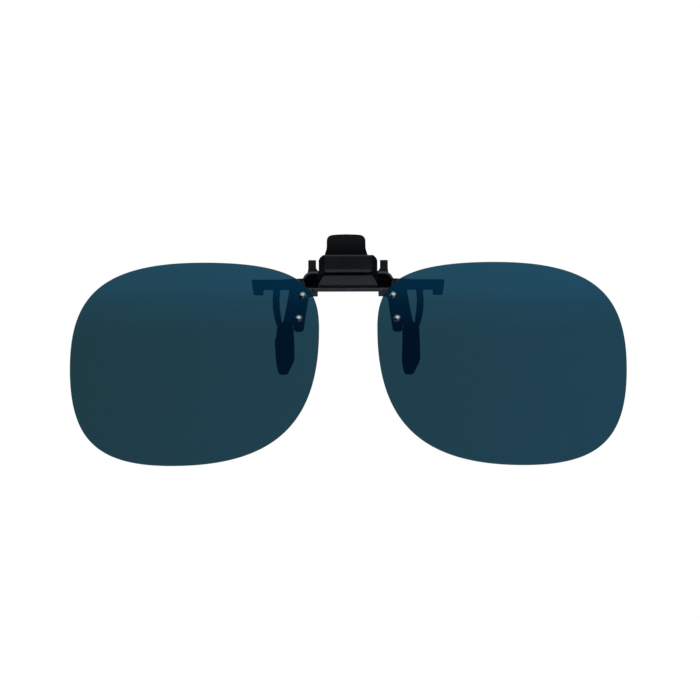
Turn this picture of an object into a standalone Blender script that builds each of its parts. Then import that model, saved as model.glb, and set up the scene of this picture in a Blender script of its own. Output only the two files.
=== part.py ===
"""Flip-up clip-on sunglasses, modelled as separate pieces, in metres with +Z up.

The front is -Y and the wearer's side is +Y. The origin is the middle of the flat saddle face that
rests on the spectacle frame. Three groups move against each other: the clip itself, the lens
bracket with both lenses, which flips up about the flip pin, and the spring-loaded clamp lever.
"""

import math

import bmesh
import bpy
from mathutils import Matrix, Vector

MM = 0.001

# Lenses: outline anchors and curve handles for the right-hand lens, and the stack in front of the arms.
LENS_TOP = (35.1 * MM, 6.8 * MM)
LENS_OUTER = (67.1 * MM, -19.0 * MM)
LENS_BOTTOM = (42.5 * MM, -42.2 * MM)
LENS_INNER = (7.0 * MM, -9.2 * MM)
LENS_HANDLES = (25.3 * MM, 17.0 * MM, 17.0 * MM, 17.9 * MM, 24.6 * MM, 22.9 * MM, 9.5 * MM, 24.9 * MM)
LENS_THICKNESS = 1.0 * MM
LENS_CURVE_RADIUS = 260.0 * MM
LENS_EDGE_CHAMFER = 0.15 * MM
LENS_STEPS = 20

# Flip axis and clamp axis, both parallel to X.
FLIP_Y, FLIP_Z = -3.8 * MM, 2.5 * MM
CLAMP_Y, CLAMP_Z = 0.9 * MM, 6.2 * MM

# Rivets, and what they hold together, front to back.
RIVETS = {"upper": (10.85 * MM, -1.2 * MM), "lower": (11.8 * MM, -6.75 * MM)}
SEAM = 0.06 * MM
LENS_SEAM = 0.12 * MM
ARM_BACK = -3.7 * MM
ARM_THICKNESS = 1.0 * MM
ARM_FRONT = ARM_BACK - ARM_THICKNESS
LENS_BACK = ARM_FRONT - LENS_SEAM
LENS_FRONT = LENS_BACK - LENS_THICKNESS
SHANK_RADIUS = 0.70 * MM
HOLE_RADIUS = 0.75 * MM
HEAD_RADIUS = 0.95 * MM
HEAD_HEIGHT = 0.8 * MM
HEAD_RIM = 0.12 * MM
WASHER_RADIUS = 1.25 * MM
WASHER_THICKNESS = 0.25 * MM
TAIL_RADIUS = 0.95 * MM
TAIL_HEIGHT = 0.35 * MM

# Lens bracket.
BRACKET_HALF = 11.0 * MM
BRACKET_TOP = 4.6 * MM
BRACKET_BOTTOM = -0.3 * MM
BRACKET_CORNER = 2.4 * MM
POCKET_INNER = 7.3 * MM
END_FRONT = -4.2 * MM
END_BACK = -2.8 * MM
BAR_FRONT = -4.8 * MM
BAR_TOP = 0.65 * MM
LIP_BOTTOM = -1.45 * MM
ARM_BOTTOM = -10.0 * MM
BAR_HALF = 8.6 * MM
BAR_ROUND = 0.15 * MM
POCKET_WALL = 0.55 * MM
POCKET_BACK_WALL = 0.45 * MM

# Clip base.
RAIL_HALF_DEPTH = 1.1 * MM
RAIL_TOP = 4.4 * MM
SADDLE_HALF = 8.0 * MM
BAR_END = 23.3 * MM
BAR_UNDERSIDE = 0.1 * MM
TBAR_TOP = 2.65 * MM
HOOK_BOTTOM = -1.15 * MM
LEG_FRONT = -1.85 * MM
LEG_BACK = -0.75 * MM
BARREL_HALF = 7.25 * MM
PANEL_TOP_HALF = 5.75 * MM
EAR_INNER, EAR_OUTER = 6.0 * MM, 6.9 * MM
EAR_RADIUS = 1.5 * MM
CHAMBER_HALF = 4.0 * MM
POST_INNER, POST_OUTER, POST_TOP = 7.7 * MM, 9.6 * MM, 7.36 * MM
POST_HALF_DEPTH = 0.8 * MM

# Pins and springs.
FLIP_PIN_RADIUS = 0.50 * MM
FLIP_PIN_HALF = 10.75 * MM
PIN_FLAT = 0.40 * MM
FLAT_HALF = 4.2 * MM
LEAF_THICKNESS = 0.15 * MM
CLAMP_PIN_RADIUS = 0.60 * MM
RUNNING_GAP = 0.04 * MM
WIRE_RADIUS = 0.24 * MM
COIL_RADIUS = 1.05 * MM
COIL_TURNS = 4.0
FORWARD_TAIL, UPWARD_TAIL = 2.9 * MM, 1.6 * MM
COIL_PITCH = 0.54 * MM

# Spring housing.
HOUSING_HALF = 7.08 * MM
HOUSING_BOTTOM, HOUSING_TOP = 4.3 * MM, 8.55 * MM
HOUSING_FRONT, HOUSING_BACK = -5.4 * MM, -1.2 * MM
CHEEK_BOTTOM = 3.7 * MM
FRONT_WALL, ROOF_WALL = 1.0 * MM, 0.8 * MM
HOLLOW_HALF = 5.6 * MM
FLARE_HALF, FLARE_HEIGHT, FLARE_DEPTH = 5.5 * MM, 0.75 * MM, 0.2 * MM

# Clamp lever and grips.
HUB_RADIUS = 1.5 * MM
HUB_HALF = 5.85 * MM
SPRING_SLOT_HALF = 1.9 * MM
TAB_TOP = 13.6 * MM
TAB_HALF = 4.7 * MM
TAB_OFFSET = -0.45 * MM
TAB_LEAN = 0.03
TAB_FRONT, TAB_BACK = CLAMP_Y + 0.1 * MM, CLAMP_Y + 1.45 * MM
PLATE_FRONT, PLATE_BACK = 1.6 * MM, 2.6 * MM
GRIP_TOP, GRIP_TIP = -8.7 * MM, -20.3 * MM
GRIP_CENTRE = 15.2 * MM
JAW_GAP = 0.3 * MM
GRIP_DEPTH = 2.2 * MM
CORE_DEPTH = 1.1 * MM
CORE_HALF = 1.3 * MM
CORE_TIP = -17.6 * MM
CORE_SLACK = 0.1 * MM
RIDGE = 0.45 * MM

ROUND_STEPS = 24
FINE_STEPS = 20
CLEAR = 12.0 * MM


# ---------------------------------------------------------------- materials and objects


def material(name, colour, roughness, metallic=0.0):
    made = bpy.data.materials.new(name)
    made.use_nodes = True
    shader = made.node_tree.nodes["Principled BSDF"]
    shader.inputs["Base Color"].default_value = (*colour, 1.0)
    shader.inputs["Roughness"].default_value = roughness
    shader.inputs["Metallic"].default_value = metallic
    return made


def new_object(name, bm, finish=None):
    bmesh.ops.remove_doubles(bm, verts=bm.verts, dist=0.001 * MM)
    bmesh.ops.recalc_face_normals(bm, faces=bm.faces)
    mesh = bpy.data.meshes.new(name)
    bm.to_mesh(mesh)
    bm.free()
    made = bpy.data.objects.new(name, mesh)
    bpy.context.scene.collection.objects.link(made)
    if finish:
        mesh.materials.append(material(name, *finish))
    return made


def combine(target, tool, operation):
    """Applies an exact boolean of tool to target and removes the tool."""
    modifier = target.modifiers.new("cut", "BOOLEAN")
    modifier.operation = operation
    modifier.solver = "EXACT"
    modifier.object = tool
    bpy.context.view_layer.update()
    graph = bpy.context.evaluated_depsgraph_get()
    result = bpy.data.meshes.new_from_object(target.evaluated_get(graph))
    target.modifiers.remove(modifier)
    target.data = result
    bpy.data.objects.remove(tool)


def join(target, *tools):
    for tool in tools:
        combine(target, tool, "UNION")


def cut(target, *tools):
    for tool in tools:
        combine(target, tool, "DIFFERENCE")


def smooth(target, angle=35.0):
    target.data.shade_smooth()
    target.data.set_sharp_from_angle(angle=math.radians(angle))


def move_points(target, rule):
    """Moves every point of an object's mesh to rule(point)."""
    for vertex in target.data.vertices:
        vertex.co = rule(vertex.co)


def mirrored(source, name):
    """A separate copy of an object, reflected to the other side of the middle plane."""
    bm = bmesh.new()
    bm.from_mesh(source.data)
    for vertex in bm.verts:
        vertex.co.x = -vertex.co.x
    bmesh.ops.reverse_faces(bm, faces=bm.faces)
    mesh = bpy.data.meshes.new(name)
    bm.to_mesh(mesh)
    bm.free()
    copy = bpy.data.objects.new(name, mesh)
    bpy.context.scene.collection.objects.link(copy)
    return copy


def hang(axis_name, y, z, pieces):
    """Parents pieces that turn together to an empty on their joint's axis, with their origins there too."""
    axis = bpy.data.objects.new(axis_name, None)
    axis.location = (0, y, z)
    bpy.context.scene.collection.objects.link(axis)
    for piece in pieces:
        piece.data.transform(Matrix.Translation((0, -y, -z)))
        piece.parent = axis


# ---------------------------------------------------------------- outlines and basic solids


def arc(centre, radius, start, end, steps):
    """Points on an arc, with angles in degrees."""
    angles = [math.radians(start + (end - start) * i / steps) for i in range(steps + 1)]
    return [(centre[0] + radius * math.cos(a), centre[1] + radius * math.sin(a)) for a in angles]


def rounded(corners, steps=4):
    """A closed outline whose corners (u, v, radius) are rounded off."""
    outline = []
    for i, (u, v, radius) in enumerate(corners):
        here = Vector((u, v))
        if radius == 0:
            outline.append(tuple(here))
            continue
        before = (Vector(corners[i - 1][:2]) - here).normalized()
        after = (Vector(corners[(i + 1) % len(corners)][:2]) - here).normalized()
        half = before.angle(after) / 2
        reach = radius / math.tan(half)
        centre = here + (before + after).normalized() * radius / math.sin(half)
        first, last = here + before * reach - centre, here + after * reach - centre
        sweep = first.angle_signed(last)
        for k in range(steps + 1):
            turn = -sweep * k / steps
            c, s = math.cos(turn), math.sin(turn)
            outline.append((centre.x + first.x * c - first.y * s, centre.y + first.x * s + first.y * c))
    return outline


def place(u, v, along, axis):
    """A point whose outline coordinates are u and v, at a distance along an axis."""
    return {"X": (along, u, v), "Y": (u, along, v), "Z": (u, v, along)}[axis]


def prism(outline, low, high, axis="Y", name="prism"):
    """An outline pushed from low to high along an axis: (x, z) along Y, (y, z) along X, (x, y) along Z."""
    bm = bmesh.new()
    ends = [[bm.verts.new(place(u, v, along, axis)) for u, v in outline] for along in (low, high)]
    bm.faces.new(ends[0])
    bm.faces.new(list(reversed(ends[1])))
    for i in range(len(outline)):
        j = (i + 1) % len(outline)
        bm.faces.new((ends[0][i], ends[0][j], ends[1][j], ends[1][i]))
    return new_object(name, bm)


def box(low, high, name="box"):
    outline = [(low[0], low[2]), (high[0], low[2]), (high[0], high[2]), (low[0], high[2])]
    return prism(outline, low[1], high[1], "Y", name)


def rod(centre, radius, low, high, axis="X", steps=ROUND_STEPS, name="rod"):
    outline = arc(centre, radius, 0, 360 - 360 / steps, steps - 1)
    return prism(outline, low, high, axis, name)


def lofted(sections, name, finish=None):
    """A closed skin over cross sections that all have the same number of points."""
    bm = bmesh.new()
    rings = [[bm.verts.new(p) for p in section] for section in sections]
    for low, high in zip(rings, rings[1:]):
        for i in range(len(low)):
            j = (i + 1) % len(low)
            bm.faces.new((low[i], low[j], high[j], high[i]))
    bm.faces.new(rings[0])
    bm.faces.new(list(reversed(rings[-1])))
    return new_object(name, bm, finish)


def ribbon(stations, corner, name, finish=None, steps=2):
    """A bar of changing rounded section. A station is (x, y, z, width, depth), top to bottom."""
    sections = []
    for x, y, z, width, depth in stations:
        r = min(corner, 0.45 * width, 0.45 * depth)
        w, d = width / 2, depth / 2
        corners = [(x - w, y - d, r), (x + w, y - d, r), (x + w, y + d, r), (x - w, y + d, r)]
        outline = rounded(corners, steps)
        sections.append([(u, v, z) for u, v in outline])
    return lofted(sections, name, finish)


def turned(profile, centre, name, finish, steps=ROUND_STEPS):
    """A piece turned about an axis along Y. The profile is (radius, y), and starts and ends at radius 0."""
    bm = bmesh.new()
    rings = []
    for radius, y in profile:
        if radius == 0:
            rings.append([bm.verts.new((centre[0], y, centre[1]))])
        else:
            ring = arc(centre, radius, 0, 360 - 360 / steps, steps - 1)
            rings.append([bm.verts.new((u, y, v)) for u, v in ring])
    for near, far in zip(rings, rings[1:]):
        for i in range(steps):
            j = (i + 1) % steps
            corners = [near[i % len(near)], near[j % len(near)], far[j % len(far)], far[i % len(far)]]
            bm.faces.new(list(dict.fromkeys(corners)))
    return new_object(name, bm, finish)


# ---------------------------------------------------------------- lenses and rivets


def bezier(start, first, second, end, steps):
    """Points of a cubic curve, without its last one."""
    points = []
    for k in range(steps):
        t = k / steps
        weights = ((1 - t) ** 3, 3 * (1 - t) ** 2 * t, 3 * (1 - t) * t * t, t**3)
        curve = (start, first, second, end)
        points.append(tuple(sum(w * p[i] for w, p in zip(weights, curve)) for i in (0, 1)))
    return points


def lens_outline():
    """The lens shape, a closed curve through its top, outer, bottom and inner extremes."""
    top, outer, bottom, inner = LENS_TOP, LENS_OUTER, LENS_BOTTOM, LENS_INNER
    h = LENS_HANDLES
    corners = [
        (top, (top[0] + h[0], top[1]), (outer[0], outer[1] + h[1]), outer),
        (outer, (outer[0], outer[1] - h[2]), (bottom[0] + h[3], bottom[1]), bottom),
        (bottom, (bottom[0] - h[4], bottom[1]), (inner[0], inner[1] - h[5]), inner),
        (inner, (inner[0], inner[1] + h[6]), (top[0] - h[7], top[1]), top),
    ]
    return [point for corner in corners for point in bezier(*corner, LENS_STEPS)]


def lens_centre():
    return (LENS_OUTER[0] + LENS_INNER[0]) / 2, (LENS_TOP[1] + LENS_BOTTOM[1]) / 2


def between_rivets():
    return (RIVETS["upper"][0] + RIVETS["lower"][0]) / 2, (RIVETS["upper"][1] + RIVETS["lower"][1]) / 2


def bow(point):
    """Moves a point of the lens back by the fall of the lens curve, which is nil between the rivets."""
    cx, cz = lens_centre()
    mx, mz = between_rivets()
    fall = (abs(point.x) - cx) ** 2 + (point.z - cz) ** 2 - (mx - cx) ** 2 - (mz - cz) ** 2
    return Vector((point.x, point.y + fall / (2 * LENS_CURVE_RADIUS), point.z))


def tilt(point):
    """Leans a point of an arm, rivet or washer with the lens surface between the rivets."""
    cx, cz = lens_centre()
    mx, mz = between_rivets()
    lean = (mx - cx) * (abs(point.x) - mx) + (mz - cz) * (point.z - mz)
    return Vector((point.x, point.y + lean / LENS_CURVE_RADIUS, point.z))


def lens():
    """One curved lens with a chamfered edge and two rivet holes."""
    outline = lens_outline()
    cx, cz = lens_centre()
    rim = 1 - LENS_EDGE_CHAMFER / (LENS_OUTER[0] - cx)
    layers = [(s, LENS_FRONT) for s in (0.3, 0.6, 0.85, rim)]
    layers += [(1.0, LENS_FRONT + LENS_EDGE_CHAMFER), (1.0, LENS_BACK - LENS_EDGE_CHAMFER)]
    layers += [(s, LENS_BACK) for s in (rim, 0.85, 0.6, 0.3)]
    sections = [[(cx + (u - cx) * s, y, cz + (v - cz) * s) for u, v in outline] for s, y in layers]
    made = lofted(sections, "lens_right", ((0.03, 0.09, 0.12), 0.05))
    for x, z in RIVETS.values():
        cut(made, rod((x, z), HOLE_RADIUS, LENS_FRONT - MM, LENS_BACK + MM, "Y"))
    move_points(made, bow)
    smooth(made)
    return made


def rivet(name, place_xz):
    """A rivet: domed head in front of the lens, shank through lens and arm, tail behind the washer."""
    head = LENS_FRONT - SEAM
    tail = ARM_BACK + 2 * SEAM + WASHER_THICKNESS
    rise = (HEAD_HEIGHT - HEAD_RIM) / HEAD_RADIUS
    dome = [(r, head - HEAD_RIM - rise * h) for r, h in arc((0, 0), HEAD_RADIUS, 72, 0, 4)]
    profile = [(0, head - HEAD_HEIGHT), *dome, (HEAD_RADIUS, head), (SHANK_RADIUS, head)]
    profile += [(SHANK_RADIUS, tail), (TAIL_RADIUS, tail), (TAIL_RADIUS, tail + 0.6 * TAIL_HEIGHT)]
    profile += [(0.7 * TAIL_RADIUS, tail + TAIL_HEIGHT), (0, tail + TAIL_HEIGHT)]
    made = turned(profile, place_xz, name, ((0.75, 0.78, 0.78), 0.15, 1.0), FINE_STEPS)
    move_points(made, tilt)
    smooth(made)
    return made


def washer(name, place_xz):
    """A flat ring behind the lens arm, which spreads the rivet's load."""
    front = ARM_BACK + SEAM
    made = rod(place_xz, WASHER_RADIUS, front, front + WASHER_THICKNESS, "Y", FINE_STEPS, name)
    cut(made, rod(place_xz, HOLE_RADIUS, front - MM, front + MM, "Y", FINE_STEPS))
    made.data.materials.append(material(name, (0.6, 0.62, 0.63), 0.3, 1.0))
    move_points(made, tilt)
    smooth(made)
    return made


# ---------------------------------------------------------------- lens bracket


def bracket_end():
    """The box at the bracket's right end, open forwards and inwards, with a big rounded top corner."""
    outline = rounded(
        [
            (POCKET_INNER, BRACKET_TOP, 0),
            (BRACKET_HALF, BRACKET_TOP, BRACKET_CORNER),
            (BRACKET_HALF, BRACKET_BOTTOM, 0.4 * MM),
            (POCKET_INNER, BRACKET_BOTTOM, 0),
        ],
        6,
    )
    end = prism(outline, END_FRONT, END_BACK)
    wall = POCKET_WALL
    pocket = rounded(
        [
            (POCKET_INNER - MM, BRACKET_TOP - wall, 0),
            (BRACKET_HALF - wall, BRACKET_TOP - wall, BRACKET_CORNER - wall),
            (BRACKET_HALF - wall, BAR_TOP, 0.3 * MM),
            (POCKET_INNER - MM, BAR_TOP, 0),
        ],
        6,
    )
    cut(end, prism(pocket, END_FRONT - MM, END_BACK - POCKET_BACK_WALL))
    for radius, front in ((HOLE_RADIUS, ARM_FRONT), (WASHER_RADIUS + 0.15 * MM, ARM_BACK - 0.3 * MM)):
        room = rod(RIVETS["upper"], radius, front, 0, "Y")
        move_points(room, tilt)
        cut(end, room)
    return end


def bracket_arm():
    """The right gusset and lens arm, which follow the curve of the lens."""
    corners = [
        (POCKET_INNER, BAR_TOP - 0.2 * MM, 0),
        (12.1 * MM, BAR_TOP - 0.2 * MM, 0.6 * MM),
        (13.25 * MM, ARM_BOTTOM, 0.8 * MM),
        (10.85 * MM, ARM_BOTTOM, 0.8 * MM),
        (9.55 * MM, LIP_BOTTOM - 0.2 * MM, 0.5 * MM),
        (8.25 * MM, LIP_BOTTOM, 0.2 * MM),
        (POCKET_INNER, LIP_BOTTOM, 0.1 * MM),
    ]
    arm = prism(rounded(corners), ARM_FRONT, ARM_BACK)
    for x, z in RIVETS.values():
        cut(arm, rod((x, z), HOLE_RADIUS, ARM_FRONT - MM, ARM_BACK + MM, "Y"))
    move_points(arm, tilt)
    return arm


def lens_bracket():
    """The black front moulding: bottom bar, end boxes with their pockets, and the two lens arms."""
    bar = rounded(
        [
            (BAR_FRONT, BRACKET_BOTTOM + 0.25 * MM, BAR_ROUND),
            (BAR_FRONT, BAR_TOP, BAR_ROUND),
            (END_BACK, BAR_TOP, BAR_ROUND),
            (END_BACK, BRACKET_BOTTOM, BAR_ROUND),
            (BAR_FRONT + 0.25 * MM, BRACKET_BOTTOM, BAR_ROUND),
        ],
        2,
    )
    made = prism(bar, -BAR_HALF, BAR_HALF, "X", "lens_bracket")
    for half in (bracket_end, bracket_arm):
        right = half()
        join(made, mirrored(right, "left_half"), right)
    hole = FLIP_PIN_RADIUS + 0.5 * RUNNING_GAP
    cut(made, rod((FLIP_Y, FLIP_Z), hole, -CLEAR, CLEAR))
    made.data.materials.append(material("lens_bracket", (0.012, 0.013, 0.014), 0.35))
    smooth(made)
    return made


def flip_pin():
    """The axle of the lens bracket, squared in the middle, where the detent leaf presses on a flat."""
    half = FLIP_PIN_HALF
    made = rod((FLIP_Y, FLIP_Z), FLIP_PIN_RADIUS, -half, half, "X", ROUND_STEPS, "flip_pin")
    for side in (-1, 1):
        inner, outer = sorted((side * PIN_FLAT, side * MM))
        cut(made, box((-FLAT_HALF, FLIP_Y - MM, FLIP_Z + inner), (FLAT_HALF, FLIP_Y + MM, FLIP_Z + outer)))
        cut(made, box((-FLAT_HALF, FLIP_Y + inner, FLIP_Z - MM), (FLAT_HALF, FLIP_Y + outer, FLIP_Z + MM)))
    made.data.materials.append(material("flip_pin", (0.35, 0.36, 0.37), 0.3, 1.0))
    smooth(made)
    return made


# ---------------------------------------------------------------- clip base


def rail_outline():
    """Front view of the rail: saddle in the middle, shoulders, and a T-bar to each side."""
    right = [
        (SADDLE_HALF, 0),
        (SADDLE_HALF, BAR_UNDERSIDE),
        (BAR_END - 0.3 * MM, BAR_UNDERSIDE),
        (BAR_END, TBAR_TOP - 0.3 * MM),
        (BAR_END - 0.2 * MM, TBAR_TOP),
        (15.6 * MM, TBAR_TOP),
        (13.6 * MM, TBAR_TOP + 0.2 * MM),
        (10.9 * MM, TBAR_TOP + 0.3 * MM),
        (10.0 * MM, RAIL_TOP - 0.5 * MM),
        (9.3 * MM, RAIL_TOP),
    ]
    return right + [(-x, z) for x, z in reversed(right)]


def front_leg():
    """The right front leg: a thin and a broad strut that meet at the grip, and the core inside the grip."""
    shoulder = GRIP_TOP + SEAM
    outline = [
        (16.3 * MM, TBAR_TOP - 0.6 * MM),
        (18.05 * MM, TBAR_TOP - 0.6 * MM),
        (18.1 * MM, 0),
        (18.25 * MM, -2.2 * MM),
        (18.2 * MM, -4.2 * MM),
        (17.9 * MM, -6.3 * MM),
        (17.4 * MM, -8.0 * MM),
        (17.2 * MM, shoulder),
        (GRIP_CENTRE + CORE_HALF, shoulder),
        (GRIP_CENTRE + CORE_HALF, CORE_TIP + 0.8 * MM),
        (GRIP_CENTRE + 0.5 * CORE_HALF, CORE_TIP),
        (GRIP_CENTRE - 0.5 * CORE_HALF, CORE_TIP),
        (GRIP_CENTRE - CORE_HALF, CORE_TIP + 0.8 * MM),
        (GRIP_CENTRE - CORE_HALF, shoulder),
        (13.15 * MM, shoulder),
        (12.5 * MM, -5.0 * MM),
        (11.6 * MM, 0),
        (11.5 * MM, TBAR_TOP - 0.6 * MM),
        (14.2 * MM, TBAR_TOP - 0.6 * MM),
        (14.25 * MM, 0),
        (14.85 * MM, -3.5 * MM),
        (15.5 * MM, -6.7 * MM),
        (15.85 * MM, -8.2 * MM),
        (16.0 * MM, -8.2 * MM),
        (16.2 * MM, -6.4 * MM),
        (16.5 * MM, -4.3 * MM),
        (16.6 * MM, -2.2 * MM),
        (16.4 * MM, 0),
    ]
    return prism(outline, LEG_FRONT, LEG_BACK)


def hook():
    """The down-turned end of the right T-bar, which lies in front of the spectacle rim."""
    corners = [
        (20.4 * MM, BAR_UNDERSIDE + MM, 0),
        (20.4 * MM, HOOK_BOTTOM, 0.35 * MM),
        (BAR_END - 0.5 * MM, HOOK_BOTTOM, 0.35 * MM),
        (BAR_END - 0.2 * MM, BAR_UNDERSIDE + MM, 0),
    ]
    return prism(rounded(corners), LEG_FRONT, LEG_BACK)


def tbar_front():
    """The forward part of the right T-bar, which the legs hang from."""
    corners = [
        (11.5 * MM, BAR_UNDERSIDE + 0.05 * MM, 0),
        (BAR_END - 0.35 * MM, BAR_UNDERSIDE + 0.05 * MM, 0),
        (BAR_END - 0.05 * MM, TBAR_TOP - 0.05 * MM, 0.3 * MM),
        (11.5 * MM, TBAR_TOP - 0.05 * MM, 0),
    ]
    return prism(rounded(corners), LEG_FRONT, -RAIL_HALF_DEPTH + 0.4 * MM)


def hinge_barrel():
    """The body that the flip pin turns in, with a sloped front panel, and the web back to the rail."""
    y, z = FLIP_Y, FLIP_Z
    section = [
        (y - 0.75 * MM, z - 1.55 * MM),
        (y - 1.25 * MM, z - 1.20 * MM),
        (y - 0.80 * MM, z + 1.15 * MM),
        (y + 0.20 * MM, z + 1.40 * MM),
        (-RAIL_HALF_DEPTH + 0.4 * MM, z + 1.40 * MM),
        (-RAIL_HALF_DEPTH + 0.4 * MM, z - 1.35 * MM),
        (y + 0.50 * MM, z - 1.60 * MM),
    ]
    barrel = prism(section, -BARREL_HALF, BARREL_HALF, "X")
    low, high = z - 1.7 * MM, z + 1.5 * MM
    wedge = [(BARREL_HALF + 0.2 * MM, low), (PANEL_TOP_HALF, high), (CLEAR, high), (CLEAR, low)]
    trim = prism(wedge, y - 3 * MM, -RAIL_HALF_DEPTH - 0.05 * MM)
    cut(barrel, mirrored(trim, "left_trim"), trim)
    return barrel


def pin_ear():
    """The right ear that holds the end of the clamp pin."""
    top = arc((CLAMP_Y, CLAMP_Z), EAR_RADIUS, 0, 180, 10)
    outline = [*top, (-0.9 * MM, RAIL_TOP - 0.5 * MM), (RAIL_HALF_DEPTH - 0.05 * MM, RAIL_TOP - 0.5 * MM)]
    outline += [(CLAMP_Y + EAR_RADIUS, RAIL_TOP + 0.6 * MM)]
    return prism(outline, EAR_INNER, EAR_OUTER, "X")


def stop_post():
    """The right upright post behind the bracket's roof, with a foot that spreads towards the housing."""
    corners = [
        (EAR_OUTER + 0.1 * MM, RAIL_TOP - 0.3 * MM, 0),
        (POST_OUTER + 0.2 * MM, RAIL_TOP - 0.3 * MM, 0),
        (POST_OUTER, RAIL_TOP + 0.9 * MM, 0.5 * MM),
        (POST_OUTER, POST_TOP, 0.12 * MM),
        (POST_INNER, POST_TOP, 0.12 * MM),
        (POST_INNER, RAIL_TOP + 1.0 * MM, 0.4 * MM),
        (EAR_OUTER + 0.4 * MM, RAIL_TOP + 0.4 * MM, 0.2 * MM),
        (EAR_OUTER + 0.1 * MM, RAIL_TOP + 0.3 * MM, 0),
    ]
    return prism(rounded(corners), -POST_HALF_DEPTH, POST_HALF_DEPTH)


def clip_base():
    """The main moulding: rail and saddle, T-bars, front legs, hinge barrel, pin ears and posts."""
    made = prism(rail_outline(), -RAIL_HALF_DEPTH, RAIL_HALF_DEPTH, "Y", "clip_base")
    for half in (tbar_front, front_leg, hook, pin_ear, stop_post):
        right = half()
        join(made, mirrored(right, "left_half"), right)
    join(made, hinge_barrel())
    cut(made, rod((FLIP_Y, FLIP_Z), FLIP_PIN_RADIUS + RUNNING_GAP, -CLEAR, CLEAR))
    cut(made, rod((CLAMP_Y, CLAMP_Z), CLAMP_PIN_RADIUS + 0.5 * RUNNING_GAP, -CLEAR, CLEAR))
    low = (-CHAMBER_HALF, FLIP_Y - 0.5 * MM, FLIP_Z + 0.25 * MM)
    high = (CHAMBER_HALF, FLIP_Y + 1.3 * MM, FLIP_Z + 3 * MM)
    cut(made, box(low, high))
    made.data.materials.append(material("clip_base", (0.010, 0.011, 0.012), 0.4))
    smooth(made)
    return made


def detent_spring():
    """A bowed steel leaf over the flat of the flip pin, which holds the lenses down or up."""
    low = FLIP_Z + PIN_FLAT + 0.5 * RUNNING_GAP
    spans = [(-3.8, 0.45), (-2.6, 0.22), (-1.3, 0.05), (0, 0), (1.3, 0.05), (2.6, 0.22), (3.8, 0.45)]
    under = [(x * MM, low + rise * MM) for x, rise in spans]
    over = [(x, z + LEAF_THICKNESS) for x, z in reversed(under)]
    made = prism(under + over, FLIP_Y - 0.4 * MM, FLIP_Y + 0.8 * MM, "Y", "detent_spring")
    made.data.materials.append(material("detent_spring", (0.55, 0.56, 0.58), 0.3, 1.0))
    return made


def spring_housing():
    """The bevelled cover over the springs: open at the back and below, with a flared lower edge in front."""
    outline = [
        (5.9 * MM, HOUSING_BOTTOM),
        (6.0 * MM, CHEEK_BOTTOM),
        (6.75 * MM, CHEEK_BOTTOM),
        (HOUSING_HALF, CHEEK_BOTTOM + 0.4 * MM),
        (HOUSING_HALF, HOUSING_TOP - 1.3 * MM),
        (HOUSING_HALF - 0.35 * MM, HOUSING_TOP - 0.6 * MM),
        (HOUSING_HALF - 1.05 * MM, HOUSING_TOP),
    ]
    outline += [(-x, z) for x, z in reversed(outline)]
    made = prism(outline, HOUSING_FRONT, HOUSING_BACK, "Y", "spring_housing")
    ahead = HOUSING_FRONT - 0.1 * MM
    side = [(5.6 * MM, ahead), (7.2 * MM, ahead), (7.2 * MM, HOUSING_FRONT + 1.0 * MM)]
    bevel = prism(side, CHEEK_BOTTOM - MM, HOUSING_TOP + MM, "Z")
    cut(made, mirrored(bevel, "left_bevel"), bevel)
    above = HOUSING_TOP + 0.1 * MM
    upper = [(ahead, HOUSING_TOP - 0.35 * MM), (ahead, above), (HOUSING_FRONT + 0.45 * MM, above)]
    cut(made, prism(upper, -CLEAR, CLEAR, "X"))
    flare = [
        (HOUSING_FRONT + 0.3 * MM, HOUSING_BOTTOM),
        (HOUSING_FRONT - FLARE_DEPTH + 0.05 * MM, HOUSING_BOTTOM),
        (HOUSING_FRONT - FLARE_DEPTH, HOUSING_BOTTOM + 0.1 * MM),
        (HOUSING_FRONT, HOUSING_BOTTOM + FLARE_HEIGHT),
        (HOUSING_FRONT + 0.3 * MM, HOUSING_BOTTOM + FLARE_HEIGHT),
    ]
    join(made, prism(flare, -FLARE_HALF, FLARE_HALF, "X"))
    low = (-HOLLOW_HALF, HOUSING_FRONT + FRONT_WALL, CHEEK_BOTTOM - MM)
    high = (HOLLOW_HALF, HOUSING_BACK + MM, HOUSING_TOP - ROOF_WALL)
    cut(made, box(low, high))
    made.data.materials.append(material("spring_housing", (0.010, 0.012, 0.013), 0.35))
    smooth(made)
    return made


# ---------------------------------------------------------------- clamp


def tab_outline():
    """Front view of the thumb tab: flared foot, straight sides, rounded and slightly crowned top."""
    foot = CLAMP_Z + 0.6 * MM
    corners = [
        (5.3 * MM, foot, 0),
        (5.2 * MM, 8.6 * MM, 0),
        (TAB_HALF, 10.2 * MM, 1.5 * MM),
        (TAB_HALF - 0.05 * MM, TAB_TOP - 0.3 * MM, 1.4 * MM),
        (2.4 * MM, TAB_TOP - 0.08 * MM, 0),
        (0, TAB_TOP, 0),
    ]
    corners += [(-x, z, r) for x, z, r in reversed(corners[:-1])]
    return rounded(corners, 5)


def rear_leg(side):
    """One rear leg: from the lever's back plate out and down, bowed back to clear the spectacle rim."""
    path = [
        (7.6, 2.15, 3.6, 5.6, 1.15),
        (8.2, 2.2, 2.0, 5.2, 1.15),
        (9.6, 2.45, 0.6, 3.9, 1.15),
        (10.9, 2.75, -0.8, 2.9, 1.1),
        (12.0, 2.95, -2.6, 2.5, 1.1),
        (13.0, 2.85, -4.6, 2.4, 1.1),
        (13.9, 2.35, -6.6, 2.4, 1.05),
        (14.75, 1.6, -7.7, 2.5, 1.05),
        (15.2, 1.25, -8.6, 2.6, 1.05),
        (15.2, 1.25, -16.8, 2.6, 1.05),
        (15.2, 1.25, -17.6, 1.3, 1.05),
    ]
    stations = [(side * x * MM, y * MM, z * MM, w * MM, d * MM) for x, y, z, w, d in path]
    return ribbon(stations, 0.3 * MM, "rear_leg")


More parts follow.
